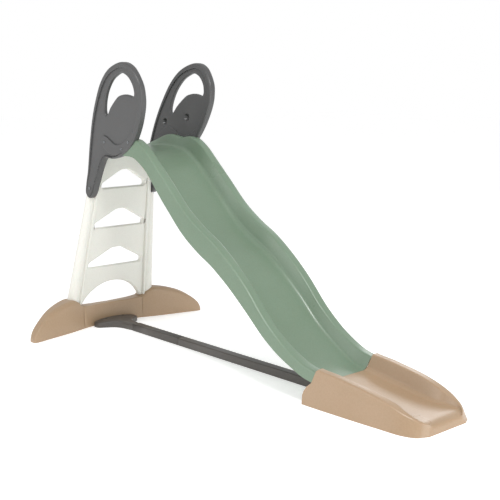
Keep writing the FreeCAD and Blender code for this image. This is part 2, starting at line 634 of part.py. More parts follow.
def brace_head():
    """Leaf that sits against the crossbar, with the first length of the bar."""
    side = [vec(x, y, 0) for x, y in HEAD_OUTLINE]
    tip_x = along(BASE_FRONT, LEAF_HALF) + GAP
    curve = Part.BSplineCurve()
    curve.interpolate([vec(tip_x, LEAF_HALF, 0)] + side + [vec(LEAF_END, BAR_HALF, 0)])
    half_line = curve.toShape()
    far_line = mirrored(half_line)
    ends = [Part.makeLine(vec(LEAF_END, BAR_HALF, 0), vec(LEAF_END, -BAR_HALF, 0)),
            Part.makeLine(vec(tip_x, LEAF_HALF, 0), vec(tip_x, -LEAF_HALF, 0))]
    outline = Part.Wire(Part.__sortEdges__([half_line, far_line] + ends))
    leaf = Part.Face(outline).extrude(vec(0, 0, LEAF_HEIGHT))
    rear = Part.makeLoft([base_wire(y, -PLUG_GAP) for y in even(-SEAM, SEAM, 9)], True, False)
    front = along(BASE_FRONT, 0)
    leaf = leaf.fuse(block((front, -LEAF_HALF, 0), (tip_x + 1, LEAF_HALF, LEAF_HEIGHT))).cut(rear)
    leaf = leaf.cut(block((front - 10, -HEAD_TONGUE - GAP, 0),
                          (front + TONGUE_REACH + GAP, HEAD_TONGUE + GAP, TONGUE_HIGH + GAP)))
    x, y = HEAD_SCREW
    for side in (-1, 1):
        leaf = leaf.cut(rod(SCREW["head"] + 1, vec(x, side * y, HEAD_SEAT), vec(x, side * y, BAR_HEIGHT)))
        leaf = leaf.cut(rod(SCREW["shank"] + SLIVER, vec(x, side * y, 0), vec(x, side * y, HEAD_SEAT)))
    leaf = leaf.fuse([bar(BAR_START, SPLICE, 0, BAR_HEIGHT), bar(BAR_START, SPLICE + LAP, 0, BAR_HEIGHT / 2)])
    return leaf.removeSplitter().cut(splice_hole())


def splice_hole():
    """Hole and head seat of the screw through the two laps of the bar."""
    x = SPLICE + LAP / 2
    shank = rod(SCREW["shank"] + SLIVER, vec(x, 0, -1), vec(x, 0, BAR_HEIGHT))
    return shank.fuse(rod(SCREW["head"] + 1, vec(x, 0, SPLICE_SEAT), vec(x, 0, BAR_HEIGHT + 1)))


def brace_bar():
    upper = bar(SPLICE + GAP, BAR_END, BAR_HEIGHT / 2 + SLIVER, BAR_HEIGHT)
    lower = bar(SPLICE + LAP + GAP, BAR_END, 0, BAR_HEIGHT / 2 + 1)
    body = upper.fuse(lower).removeSplitter().cut(splice_hole())
    for y in (-1, 1):
        at = vec(BRACE_SCREW_X, y * BAR_HALF * 2, BRACE_SCREW_Z)
        body = body.cut(rod(SCREW["shank"] + SLIVER, at, vec(BRACE_SCREW_X, y * 8, BRACE_SCREW_Z)))
    return body


# ---- fasteners ----------------------------------------------------------------------------------
def handle_screws():
    """Screws through the crescent of the left handle into the chute's bosses."""
    return [placed(screw(BIG_SCREW, HANDLE_SCREW_LENGTH), vec(x, handle_face(z) + HEAD_SINK, z), vec(0, 1, 0))
            for x, z in HANDLE_SCREWS]


def handle_inserts():
    """Brass inserts in the bosses, each round its screw."""
    inserts = []
    for x, z in HANDLE_SCREWS:
        outer_y = handle_face(z) - HANDLE_THICK - 2 * GAP
        sleeve = rod(INSERT_RADIUS, vec(x, outer_y - INSERT_LENGTH, z), vec(x, outer_y - GAP, z))
        bore = rod(BIG_SCREW["shank"] + SLIVER, vec(x, outer_y - 20, z), vec(x, outer_y, z))
        inserts.append(sleeve.cut(bore))
    return inserts


def washer():
    ring = Part.makeCylinder(WASHER["radius"], WASHER["thick"])
    return ring.cut(Part.makeCylinder(SCREW["shank"] + SLIVER, WASHER["thick"]))


def both_sides(shapes):
    return Part.makeCompound(shapes + [mirrored(shape) for shape in shapes])


def fasteners():
    """Every screw, insert and washer, by node."""
    left_screws, left_inserts = handle_screws(), handle_inserts()
    x, z = TAIL_SCREW
    tail = placed(screw(BIG_SCREW, TAIL_SCREW_LENGTH), vec(x, handle_face(z) + HEAD_SINK, z), vec(0, 1, 0))
    back, up, left = vec(-1, 0, 0), vec(0, 0, 1), vec(0, 1, 0)
    foot = placed(screw(SCREW, RAIL_FOOT_SCREW_LENGTH),
                  vec(rear_seat(FOOT_SCREW_Y), FOOT_SCREW_Y, FOOT_SCREW_Z), back)
    bar_set = [placed(screw(SCREW, CROSSBAR_SCREW_LENGTH), vec(rear_seat(BAR_SCREW_Y), BAR_SCREW_Y, z), back)
               for z in BAR_SCREW_Z]
    head = placed(screw(SCREW, HEAD_SCREW_LENGTH), vec(HEAD_SCREW[0], HEAD_SCREW[1], HEAD_SEAT), up)
    splice = placed(screw(SCREW, SPLICE_SCREW_LENGTH), vec(SPLICE + LAP / 2, 0, SPLICE_SEAT), up)
    brace = placed(screw(SCREW, BRACE_EXIT_SCREW_LENGTH),
                   vec(BRACE_SCREW_X, RIB_Y + RIB / 2, BRACE_SCREW_Z), left)
    exit_set = [placed(screw(SCREW, EXIT_SCREW_LENGTH), at + away * WASHER["thick"], away)
                for at, away in exit_screw_seats()]
    exit_washers = [placed(washer(), at, away) for at, away in exit_screw_seats()]
    platform_at = vec(CHUTE_START, PLATFORM_SCREW_Y, PLATFORM_SCREW_Z)
    platform = placed(screw(SCREW, PLATFORM_SCREW_LENGTH), platform_at - vec(WASHER["thick"], 0, 0), back)
    platform_washer = placed(washer(), platform_at, back)
    return {
        "handle_screws_left": Part.makeCompound(left_screws),
        "handle_screws_right": Part.makeCompound([mirrored(shape) for shape in left_screws]),
        "handle_inserts_left": Part.makeCompound(left_inserts),
        "handle_inserts_right": Part.makeCompound([mirrored(shape) for shape in left_inserts]),
        "handle_tail_screws": both_sides([tail]),
        "rail_foot_screws": both_sides([foot]),
        "crossbar_foot_screws": both_sides(bar_set),
        "brace_head_screws": both_sides([head]),
        "brace_splice_screw": splice,
        "brace_exit_screws": both_sides([brace]),
        "exit_chute_screws": Part.makeCompound(exit_set),
        "exit_chute_washers": Part.makeCompound(exit_washers),
        "platform_screws": both_sides([platform]),
        "platform_washers": both_sides([platform_washer]),
    }


if __name__ == "__main__":
    left_handle = handle_body()
    save("handle_left", left_handle)
    save("handle_right", mirrored(left_handle))
    save("chute", chute())
    save("exit_section", exit_section())
    save("ladder", ladder())
    save("base_crossbar", base_crossbar())
    left_foot = base_foot()
    save("base_foot_left", left_foot)
    save("base_foot_right", mirrored(left_foot))
    save("brace_head", brace_head())
    save("brace_bar", brace_bar())
    for name, shape in fasteners().items():
        save(name, shape)
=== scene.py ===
# %% [markdown]
# # A wave slide in moulded plastic
# The slide is loaded first as a fixed frame: it gives the place and size of every piece, and it holds
# the screws and washers, which stay as they are. Each moulded piece is then modelled again with its
# soft edges and ribs, in the same place.

# %% Load the frame
import math
import bmesh
import bpy
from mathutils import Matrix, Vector


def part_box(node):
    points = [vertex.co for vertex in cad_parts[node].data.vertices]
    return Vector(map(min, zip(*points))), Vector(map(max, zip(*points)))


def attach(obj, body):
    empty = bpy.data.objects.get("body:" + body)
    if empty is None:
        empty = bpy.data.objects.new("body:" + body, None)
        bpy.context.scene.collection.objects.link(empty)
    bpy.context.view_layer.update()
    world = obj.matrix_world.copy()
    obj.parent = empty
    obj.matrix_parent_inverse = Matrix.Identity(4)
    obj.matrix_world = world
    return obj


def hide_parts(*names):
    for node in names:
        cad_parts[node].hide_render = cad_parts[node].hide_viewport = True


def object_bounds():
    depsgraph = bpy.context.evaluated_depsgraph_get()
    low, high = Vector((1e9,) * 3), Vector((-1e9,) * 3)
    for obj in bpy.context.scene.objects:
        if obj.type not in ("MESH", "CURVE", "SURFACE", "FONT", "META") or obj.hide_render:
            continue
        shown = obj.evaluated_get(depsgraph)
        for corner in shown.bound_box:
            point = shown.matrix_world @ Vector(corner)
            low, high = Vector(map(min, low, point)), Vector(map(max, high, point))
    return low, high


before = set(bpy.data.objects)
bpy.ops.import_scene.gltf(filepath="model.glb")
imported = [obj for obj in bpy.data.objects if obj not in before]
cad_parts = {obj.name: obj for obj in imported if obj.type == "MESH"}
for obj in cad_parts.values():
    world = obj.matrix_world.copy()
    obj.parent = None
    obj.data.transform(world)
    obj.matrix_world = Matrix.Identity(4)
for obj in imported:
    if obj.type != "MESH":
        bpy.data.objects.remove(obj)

cad_box = [list(corner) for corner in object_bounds()]
print("frame nodes:", len(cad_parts), "box:", [[round(v, 3) for v in corner] for corner in cad_box])

# %% [markdown]
# ## Measures
# Lengths along the slide are given in millimetres from the tips of its feet, as on a workshop drawing.
# The frame puts its origin under the middle of the slide, so one offset, taken from the chute, joins
# the two. A few measured stations are enough for the long wave, because a smooth line runs through them.

# %% Offset, and the smooth line through a table
CHUTE_START = 40.0
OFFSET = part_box("chute")[0].x * 1000 - CHUTE_START


def place(x, y, z):
    """A drawing's point in the frame, in metres."""
    return Vector((x + OFFSET, y, z)) / 1000


def line_at(table, x):
    """Value at x of the smooth line through a table of (x, value) pairs."""
    if x <= table[0][0]:
        return table[0][1]
    if x >= table[-1][0]:
        return table[-1][1]
    last = len(table) - 1
    slopes = []
    for index in range(len(table)):
        before, after = table[max(index - 1, 0)], table[min(index + 1, last)]
        slopes.append((after[1] - before[1]) / (after[0] - before[0]))
    index = next(i for i in range(last) if x <= table[i + 1][0])
    (x0, y0), (x1, y1) = table[index], table[index + 1]
    t, span = (x - x0) / (x1 - x0), x1 - x0
    return ((2 * t**3 - 3 * t**2 + 1) * y0 + (t**3 - 2 * t**2 + t) * span * slopes[index]
            + (3 * t**2 - 2 * t**3) * y1 + (t**3 - t**2) * span * slopes[index + 1])


def even(start, stop, count):
    return [start + (stop - start) * index / (count - 1) for index in range(count)]


print("offset along the slide:", round(OFFSET), "mm")

# %% [markdown]
# ## Outlines
# A moulded part is drawn as an outline first. Straight runs get their corners turned to arcs, and a
# free curve is a smooth closed line through a few points, cut into even steps. Moving every point of an
# outline inwards by a little gives the loops that a rounded edge is built from.

# %% Rounded corners, smooth loops and offset loops
def rounded(corners, closed, steps=6):
    """Points along straight runs, given as (a, b, radius), whose corners are turned to arcs."""
    points, last = [], len(corners) - 1
    for index, (a, b, radius) in enumerate(corners):
        here = Vector((a, b))
        if radius == 0 or (not closed and index in (0, last)):
            points.append(here)
            continue
        back = (Vector(corners[index - 1][:2]) - here).normalized()
        ahead = (Vector(corners[(index + 1) % len(corners)][:2]) - here).normalized()
        half = back.angle(ahead) / 2
        reach = radius / math.tan(half)
        centre = here + (back + ahead).normalized() * (radius / math.sin(half))
        start, end = here + back * reach - centre, here + ahead * reach - centre
        for step in range(steps + 1):
            points.append(centre + start.lerp(end, step / steps).normalized() * radius)
    return points


def spaced(points, count):
    """The same closed line cut into evenly spaced points."""
    ring = points + points[:1]
    lengths = [0.0]
    for before, after in zip(ring, ring[1:]):
        lengths.append(lengths[-1] + (after - before).length)
    result, index = [], 0
    for step in range(count):
        goal = lengths[-1] * step / count
        while lengths[index + 1] < goal:
            index += 1
        share = (goal - lengths[index]) / (lengths[index + 1] - lengths[index])
        result.append(ring[index].lerp(ring[index + 1], share))
    return result


def smooth_loop(pairs, count):
    """Closed smooth line through a few points."""
    points, dense, size = [Vector(pair) for pair in pairs], [], len(pairs)
    for index in range(size):
        a, b, c, d = (points[(index + shift) % size] for shift in (-1, 0, 1, 2))
        for step in range(12):
            t = step / 12
            dense.append(b + (c - a) * (t / 2) + (a * 2 - b * 5 + c * 4 - d) * (t * t / 2)
                         + (b * 3 - a - c * 3 + d) * (t**3 / 2))
    return spaced(dense, count)


def turn_of(loop):
    """Plus one for a loop that runs anticlockwise, minus one for clockwise."""
    area = sum(a.x * b.y - b.x * a.y for a, b in zip(loop, loop[1:] + loop[:1]))
    return 1 if area > 0 else -1


def moved_in(loop, distance):
    """Each point of a loop moved towards its inside, by one distance or a table of (share, distance)."""
    side, result = turn_of(loop), []
    for index, here in enumerate(loop):
        run = (loop[(index + 1) % len(loop)] - loop[index - 1]).normalized()
        step = line_at(distance, index / len(loop)) if isinstance(distance, list) else distance
        result.append(here + Vector((-run.y, run.x)) * (side * step))
    return result


# %% [markdown]
# ## Skins
# Most of these pieces are blow-moulded: a skin that changes section slowly along its length. So a skin
# starts as the few vertices of one section, and its edges are extruded from station to station. Each
# vertex keeps its number in a layer, and the extruded copy reads it to find its place in the next one.

# %% Skin extruded through sections
def skin(mesh, sections, closed):
    """Extrude one section's edges through all the others. Gives the first and the last ring of edges."""
    order = mesh.verts.layers.int.get("order") or mesh.verts.layers.int.new("order")
    ring = [mesh.verts.new(point) for point in sections[0]]
    for index, vertex in enumerate(ring):
        vertex[order] = index
    pairs = list(zip(ring, ring[1:] + ring[:1])) if closed else list(zip(ring, ring[1:]))
    first = edges = [mesh.edges.new(pair) for pair in pairs]
    for section in sections[1:]:
        parts = bmesh.ops.extrude_edge_only(mesh, edges=edges)["geom"]
        fresh = {part for part in parts if isinstance(part, bmesh.types.BMVert)}
        for vertex in fresh:
            vertex.co = section[vertex[order]]
        edges = [part for part in parts if isinstance(part, bmesh.types.BMEdge)
                 and part.verts[0] in fresh and part.verts[1] in fresh]
    return first, edges


def finished(name, mesh, *nodes, material, slot, merge=1e-5):
    """Closed mesh made into a piece that stands for CAD nodes."""
    bmesh.ops.remove_doubles(mesh, verts=mesh.verts, dist=merge)
    bmesh.ops.recalc_face_normals(mesh, faces=mesh.faces)
    if mesh.calc_volume(signed=True) < 0 and not any(edge.is_boundary for edge in mesh.edges):
        bmesh.ops.reverse_faces(mesh, faces=mesh.faces)
    return piece(name, mesh, nodes, material)


def piece(name, mesh, nodes, material):
    data = bpy.data.meshes.new(name)
    mesh.to_mesh(data)
    mesh.free()
    data.shade_smooth()
    data.materials.append(material)
    shape = bpy.data.objects.new(name, data)
    bpy.context.scene.collection.objects.link(shape)
    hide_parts(*nodes)
    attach(shape, "root")
    print(name, "faces:", len(data.polygons))
    return shape


def mirrored(mesh):
    """Add the other side of a half that is already modelled."""
    copy = bmesh.ops.duplicate(mesh, geom=mesh.verts[:] + mesh.edges[:] + mesh.faces[:])["geom"]
    verts = [part for part in copy if isinstance(part, bmesh.types.BMVert)]
    bmesh.ops.scale(mesh, vec=(1, -1, 1), verts=verts)


def capped(mesh, *rings):
    for ring in rings:
        bmesh.ops.contextual_create(mesh, geom=ring)


# %% [markdown]
# ## Plates with rounded edges
# The handles, the ladder panel and the leaf of the brace are thick plates with windows in them. Every
# edge of a window is a quarter round, so its wall is a skin of loops that first move sideways and then
# down into the plate. The flat faces are filled between the loops at the end. One extra loop beside each
# round keeps the shading of the flat face flat.

# %% Plate from an outline and its windows
BESIDE = 2.5


def wall_steps(front, back, radii, steps=5):
    """(sideways, depth) pairs down a wall, from the front face round to the back face."""
    front_radius, back_radius = radii
    pairs = [(front_radius + BESIDE, front)]
    for step in range(steps + 1):
        angle = math.pi / 2 * step / steps
        pairs.append((front_radius * (1 - math.sin(angle)), front + front_radius * (1 - math.cos(angle))))
    for step in range(steps + 1):
        angle = math.pi / 2 * (1 - step / steps)
        pairs.append((back_radius * (1 - math.sin(angle)), back - back_radius * (1 - math.cos(angle))))
    return pairs + [(back_radius + BESIDE, back)]


def plate(mesh, outline, windows, front, back, radii, at, pits=(), back_pits=(), window_radii=None):
    """Thick plate; at(a, b, depth) puts a point of it in space. A pit in a face is (loop, depth, draft)."""
    fronts, backs = [], []
    inside = [(window, -1, window_radii or radii) for window in windows]
    for loop, side, rounds in [(outline, 1, radii)] + inside:
        sections = [[at(p.x, p.y, depth) for p in moved_in(loop, side * across)]
                    for across, depth in wall_steps(front, back, rounds)]
        first, last = skin(mesh, sections, True)
        fronts += first
        backs += last
    for side, base, rims, holes in ((1, front, fronts, pits), (-1, back, backs, back_pits)):
        for loop, depth, draft in holes:
            steps = ((-1.5, 0), (-0.4, 0.3), (0, 1), (draft, depth - 1), (draft + 1.2, depth))
            sections = [[at(p.x, p.y, base + side * down) for p in moved_in(loop, across)]
                        for across, down in steps]
            first, last = skin(mesh, sections, True)
            rims += first
            capped(mesh, last)
    for edges in (fronts, backs):
        bmesh.ops.triangle_fill(mesh, use_beauty=True, use_dissolve=False, edges=edges)


def circle(a, b, radius, count=20):
    return [Vector((a + radius * math.cos(math.tau * i / count), b + radius * math.sin(math.tau * i / count)))
            for i in range(count)]


# %% [markdown]
# ## The finishes
# All the big parts are high-density polyethylene, blow-moulded or spin-moulded with the pigment in the
# plastic. The mould is lightly grained, so the surface is satin: it scatters light a little and keeps
# one broad highlight. The wall cools unevenly, which leaves a faint waviness as long as a hand and a
# colour that is not quite even. Grain of half a millimetre is too fine to show from three metres, so it
# is drawn at two and a half.

# %% Colours and nodes
def linear(text):
    """sRGB hex text as linear colour."""
    values = [int(text[i:i + 2], 16) / 255 for i in (0, 2, 4)]
    return tuple(v / 12.92 if v <= 0.04045 else ((v + 0.055) / 1.055) ** 2.4 for v in values) + (1.0,)


def add_node(tree, kind, inputs=None, **settings):
    """Add one shader node, set its properties, and set or link its inputs."""
    node = tree.nodes.new(kind)
    for name, value in settings.items():
        setattr(node, name, value)
    for name, value in (inputs or {}).items():
        if isinstance(value, bpy.types.NodeSocket):
            tree.links.new(value, node.inputs[name])
        else:
            node.inputs[name].default_value = value
    return node


GRAIN, WAVE, CLOUD = 2.5, 90.0, 240.0      # millimetres: grain, waviness, uneven colour
GRAIN_DEPTH = 0.12


def satin_moulded_polyethylene(name, colour, shade, roughness):
    """Pigmented polyethylene from a lightly grained mould: satin, slightly wavy, colour not quite even."""
    material = bpy.data.materials.new(name)
    material.use_nodes = True
    tree = material.node_tree
    tree.nodes.clear()
    place_on = add_node(tree, "ShaderNodeTexCoord").outputs["Object"]
    cloud = add_node(tree, "ShaderNodeTexNoise", {
        "Vector": place_on, "Scale": 1000 / CLOUD, "Detail": 4.0}).outputs["Fac"]
    fleck = add_node(tree, "ShaderNodeTexNoise", {
        "Vector": place_on, "Scale": 1000 / (GRAIN * 3), "Detail": 2.0}).outputs["Fac"]
    mix = add_node(tree, "ShaderNodeMath", {0: cloud, 1: fleck}, operation="ADD")
    tone = add_node(tree, "ShaderNodeMapRange", {"Value": mix.outputs[0], "From Min": 0.7, "From Max": 1.3})
    base = add_node(tree, "ShaderNodeMix", {
        "Factor": tone.outputs[0], "A": linear(shade), "B": linear(colour)}, data_type="RGBA")
    worn = add_node(tree, "ShaderNodeMapRange", {
        "Value": cloud, "From Min": 0.3, "From Max": 0.7,
        "To Min": roughness - 0.04, "To Max": roughness + 0.05})
    wave = add_node(tree, "ShaderNodeTexNoise", {
        "Vector": place_on, "Scale": 1000 / WAVE, "Detail": 1.0}).outputs["Fac"]
    broad = add_node(tree, "ShaderNodeBump", {"Height": wave, "Strength": 0.35, "Distance": 0.0012})
    grain = add_node(tree, "ShaderNodeTexNoise", {
        "Vector": place_on, "Scale": 1000 / GRAIN, "Detail": 3.0, "Roughness": 0.6}).outputs["Fac"]
    fine = add_node(tree, "ShaderNodeBump", {
        "Height": grain, "Strength": GRAIN_DEPTH, "Distance": 0.0004, "Normal": broad.outputs[0]})
    shader = add_node(tree, "ShaderNodeBsdfPrincipled", {
        "Base Color": base.outputs["Result"], "Roughness": worn.outputs[0], "Normal": fine.outputs[0],
        "IOR": 1.54, "Specular IOR Level": 0.45, "Subsurface Weight": 0.03, "Subsurface Scale": 0.004})
    add_node(tree, "ShaderNodeOutputMaterial", {"Surface": shader.outputs[0]})
    return material


green_plastic = satin_moulded_polyethylene("satin moulded polyethylene, sage green", "788C78", "728671", 0.31)
beige_plastic = satin_moulded_polyethylene("satin moulded polyethylene, sand", "AD9378", "A68C70", 0.31)
cream_plastic = satin_moulded_polyethylene("satin moulded polyethylene, off-white", "E9E8E1", "E3E2DA", 0.34)
grey_plastic = satin_moulded_polyethylene("satin moulded polyethylene, dark grey", "525252", "4C4C4C", 0.34)
brace_plastic = satin_moulded_polyethylene("satin moulded polyethylene, warm grey", "56524E", "4F4B47", 0.38)
print("plastic finishes:", sum("polyethylene" in material.name for material in bpy.data.materials))

# %% [markdown]
# The screws are pressed from steel wire and zinc-plated: a pale, slightly blue metal with fine drawing
# marks, duller in patches where the plating is thin. The threaded inserts are turned brass.

# %% Plated steel and brass
PATCH, DRAWING_MARK = 4.0, 0.8             # millimetres


def plated_metal(name, colour, dull, roughness):
    """Bare metal skin: reflection tinted by the metal, roughness uneven in patches of a few millimetres."""
    material = bpy.data.materials.new(name)
    material.use_nodes = True
    tree = material.node_tree
    tree.nodes.clear()
    place_on = add_node(tree, "ShaderNodeTexCoord").outputs["Object"]
    patch = add_node(tree, "ShaderNodeTexNoise", {
        "Vector": place_on, "Scale": 1000 / PATCH, "Detail": 3.0}).outputs["Fac"]
    base = add_node(tree, "ShaderNodeMix", {
        "Factor": patch, "A": linear(dull), "B": linear(colour)}, data_type="RGBA")
    rough = add_node(tree, "ShaderNodeMapRange", {
        "Value": patch, "To Min": roughness - 0.08, "To Max": roughness + 0.08})
    mark = add_node(tree, "ShaderNodeTexNoise", {
        "Vector": place_on, "Scale": 1000 / DRAWING_MARK, "Detail": 2.0}).outputs["Fac"]
    bump = add_node(tree, "ShaderNodeBump", {"Height": mark, "Strength": 0.1, "Distance": 0.0001})
    shader = add_node(tree, "ShaderNodeBsdfPrincipled", {
        "Base Color": base.outputs["Result"], "Metallic": 1.0, "Roughness": rough.outputs[0],
        "Normal": bump.outputs[0]})
    add_node(tree, "ShaderNodeOutputMaterial", {"Surface": shader.outputs[0]})
    return material


zinc_steel = plated_metal("zinc-plated steel", "9A9DA0", "7E8184", 0.36)
brass = plated_metal("turned brass", "C9A65C", "A98843", 0.3)

FASTENERS = {
    "zinc_steel": [name for name in sorted(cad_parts) if "screw" in name or "washer" in name],
    "brass": [name for name in sorted(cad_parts) if "insert" in name]}
for slot_name, finish in (("zinc_steel", zinc_steel), ("brass", brass)):
    for name in FASTENERS[slot_name]:
        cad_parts[name].data.materials.clear()
        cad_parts[name].data.materials.append(finish)
print("metal nodes:", sum(len(names) for names in FASTENERS.values()))

# %% [markdown]
# ## The chute
# The chute is one open skin: skirt, rolled rim, wall, floor, and the same again on the other side. Its
# section slides along the wave. At the top end the skin turns down into a lip that covers the ladder,
# and at the bottom end it is cut square to the slope.

# %% Chute tables
RIM_HEIGHT = [(40, 1044), (105, 1068), (160, 1087), (220, 1109), (280, 1119), (374, 1105), (430, 1113),
              (480, 1106), (560, 1058), (618, 1006), (736, 900), (855, 791), (973, 712), (1091, 649),
              (1209, 565), (1327, 462), (1445, 339), (1564, 245), (1682, 183), (1776, 160), (1850, 147)]
FLOOR_DEPTH = [(40, 13), (105, 14), (160, 31), (220, 53), (280, 63), (374, 58), (460, 88), (540, 97),
               (700, 97), (1093, 94), (1210, 91), (1323, 86), (1440, 75), (1520, 66), (1600, 61), (1850, 60)]
SKIRT_DEPTH = [(40, 34), (220, 78), (374, 84), (480, 100), (588, 104), (719, 122), (1093, 122), (1210, 117),
               (1323, 108), (1433, 86), (1540, 68), (1643, 56), (1850, 52)]
HALF_WIDTH = [(40, 204), (240, 206), (400, 212), (1500, 212), (1640, 209), (1850, 203)]
RIM_WIDTH, FLOOR_HALF, FULL_HALF, SKIRT_FLARE, WALL = 47.0, 138.0, 212.0, 5.0, 4.5
FLOOR_FILLET, RIM_ROUND, CUT_EDGE_ROUND = 34.0, 11.0, 1.5
JOINT, LEAN, LEAN_START, LIP = 1776.0, 14 / 60, 1560.0, 1011.0


def both_sides(side):
    """Open chain for the whole width from its left half, which runs from the floor outwards."""
    points = rounded(side, False)
    return [Vector((-p.x, p.y)) for p in reversed(points)] + points


def chute_chain(x):
    tables = (RIM_HEIGHT, FLOOR_DEPTH, SKIRT_DEPTH, HALF_WIDTH)
    rim, depth, skirt, half = (line_at(table, x) for table in tables)
    floor, foot = rim - depth, FLOOR_HALF - max(0, FULL_HALF - half) * (x > 1500)
    fillet, bend = min(FLOOR_FILLET, depth * 0.45), min(RIM_ROUND, depth * 0.3)
    return both_sides([
        (40, floor, 0), (foot, floor, fillet), (half - RIM_WIDTH, rim, bend), (half, rim - 2, bend),
        (half + SKIRT_FLARE * 0.5, rim - skirt * 0.5, 0), (half + SKIRT_FLARE, rim - skirt, 0)])


def chute_point(x, p):
    """The last stations lean until the cut is square to the slope."""
    blend = min(1.0, max(0.0, (x - LEAN_START) / (JOINT - LEAN_START)))
    return place(x + LEAN * (p.y - line_at(RIM_HEIGHT, JOINT)) * blend, p.x, p.y)


# %% Chute
edge = chute_chain(CHUTE_START + 10)
lip = [[place(CHUTE_START, p.x, LIP) for p in edge],
       [place(CHUTE_START, p.x, min(p.y, 1038) - 12) for p in edge],
       [place(CHUTE_START + 3, p.x, p.y - 4) for p in edge]]
stations = [CHUTE_START + 10] + even(CHUTE_START + 25, JOINT, 72)
mesh = bmesh.new()
skin(mesh, lip + [[chute_point(x, p) for p in chute_chain(x)] for x in stations], False)
bmesh.ops.remove_doubles(mesh, verts=mesh.verts, dist=1e-5)
bmesh.ops.recalc_face_normals(mesh, faces=mesh.faces)
if sum(face.normal.z * face.calc_area() for face in mesh.faces) < 0:
    bmesh.ops.reverse_faces(mesh, faces=mesh.faces)
chute = piece("chute_skin", mesh, ["chute"], green_plastic)


def walled(shape, wall, edge_round):
    """Give a skin its wall, inwards, and take the sharpness off its cut edges."""
    solid = shape.modifiers.new("wall", "SOLIDIFY")
    solid.thickness, solid.offset = wall / 1000, -1
    bevel = shape.modifiers.new("edge", "BEVEL")
    bevel.width, bevel.segments, bevel.limit_method = edge_round / 1000, 2, "ANGLE"
    bevel.angle_limit, bevel.harden_normals = math.radians(50), True


walled(chute, WALL, CUT_EDGE_ROUND)

# %% [markdown]
# ## The exit section
# The run-out is a separate moulding in sand colour. It closes round the end of the chute, its rim sinks
# as the floor flattens, and its blunt nose comes down to the ground. Its two cheeks reach back under
# the skirt of the chute, so the first ring of the skin follows that stepped edge.

# %% Exit tables
EXIT_NOSE = 2330.0
EXIT_RIM = [(1702, 190), (1776, 172), (1875, 163), (1950, 153), (2040, 140), (2108, 126), (2165, 110),
            (2230, 86), (2290, 62), (2330, 40)]
EXIT_FLOOR = [(1702, 118), (1776, 100), (1875, 84), (1950, 74), (2040, 64), (2108, 58), (2165, 54),
              (2230, 51), (2290, 47), (2330, 36)]
EXIT_HALF = [(1702, 221), (2000, 212), (2150, 205), (2235, 200), (2285, 184), (2310, 164), (2330, 120)]
EXIT_TOP_HALF = [(1702, 209), (1776, 206), (2000, 198), (2150, 188), (2225, 177), (2275, 158), (2310, 130),
                 (2330, 90)]
CHEEK = [(0, 1702), (45, 1702), (84, 1723), (108, 1752), (150, 1771), (172, 1776)]


def exit_chain(x):
    tables = (EXIT_HALF, EXIT_TOP_HALF, EXIT_RIM, EXIT_FLOOR)
    half, top_half, rim, floor = (line_at(table, x) for table in tables)
    depth = rim - floor
    mouth = top_half - 42 * min(1, depth / 50)
    foot = mouth - 26 * min(1, depth / 60)
    bend = min(12.0, rim * 0.35)
    side = [(30, floor, 0), (foot, floor, min(FLOOR_FILLET, depth * 0.4)),
            (mouth, rim, min(9.0, depth * 0.3)), (top_half, rim - 1, bend)]
    for share in (0.62, 0.5, 0.36, 0.24, 0.12, 0):
        side.append((half + (top_half - half) * share, rim * share, 0))
    return both_sides(side)


def exit_point(x, p, half, first):
    """The first ring follows the cheeks outside and the joint line inside."""
    if not first:
        return place(x, p.x, p.y)
    on_cheek = abs(p.x) > half - 2
    return place(line_at(CHEEK, p.y) if on_cheek else JOINT + 0.6 + LEAN * (p.y - 160), p.x, p.y)


# %% Exit section
SOFT_FROM, SOFTENING = 2235.0, 6           # the nose is worked soft from here on
NOSE_LINE = EXIT_NOSE - 3
stations = [JOINT + 1] + even(1796, 2260, 24) + even(2270, NOSE_LINE, 10)
rows = []
for index, x in enumerate(stations):
    half = line_at(EXIT_TOP_HALF, x)
    rows.append([exit_point(x, p, half, index == 0) for p in exit_chain(x)])
nose = exit_chain(NOSE_LINE)
for run, share in ((-1, 0.85), (0, 0.5), (0, 0)):
    rows.append([place(EXIT_NOSE + run * min(1, p.y / 10), p.x, p.y * share) for p in nose])
mesh = bmesh.new()
skin(mesh, rows, False)
bmesh.ops.remove_doubles(mesh, verts=mesh.verts, dist=1e-5)
corner = place(SOFT_FROM, 0, 4)
soft = [vertex for vertex in mesh.verts if vertex.co.x > corner.x and vertex.co.z > corner.z]
for sweep in range(SOFTENING):
    bmesh.ops.smooth_vert(mesh, verts=soft, factor=0.5, use_axis_x=True, use_axis_y=True, use_axis_z=True)
bmesh.ops.recalc_face_normals(mesh, faces=mesh.faces)
if sum(face.normal.z * face.calc_area() for face in mesh.faces) < 0:
    bmesh.ops.reverse_faces(mesh, faces=mesh.faces)
exit_section = piece("exit_skin", mesh, ["exit_section"], beige_plastic)
walled(exit_section, WALL, CUT_EDGE_ROUND)

# %% [markdown]
# ## The ladder
# The ladder leans against the chute. It has two tapered round columns, each with a narrow flat flange,
# and between them a recessed panel with three arched windows: the sill of each window is a tread.
# Column and flange are one skin drawn from horizontal sections; the panel is a plate with windows.

# %% Ladder tables
RAIL_FOOT, RAIL_TOP = Vector((-112.6, 256.6, 160)), Vector((63.0, 182.5, 975))
GROOVE = [(134, 228.4), (975, 176.5)]
FLANGE = [(134, 218.9), (1020, 147)]
RECESS = [(134, 20), (1030, 6)]
UNDER_TAIL = [(775, 1.0), (800, 0.74), (975, 0.74)]
PANEL_THICK, PANEL_TOP, PANEL_BOTTOM = 52.0, 1020.0, 134.0
PLUG_LOW, SHEET, WINDOW_EDGE = 100.0, 32.0, 9.0
ARCH_RADIUS, ARCH_CENTRE, ARCH_SPREAD = 229.0, 28.0, 1.09
WINDOWS = [(355, 184, 106), (589, 171, 102), (819, 149, 99)]


def panel_front(z):
    return -112.5 + 0.2115 * z


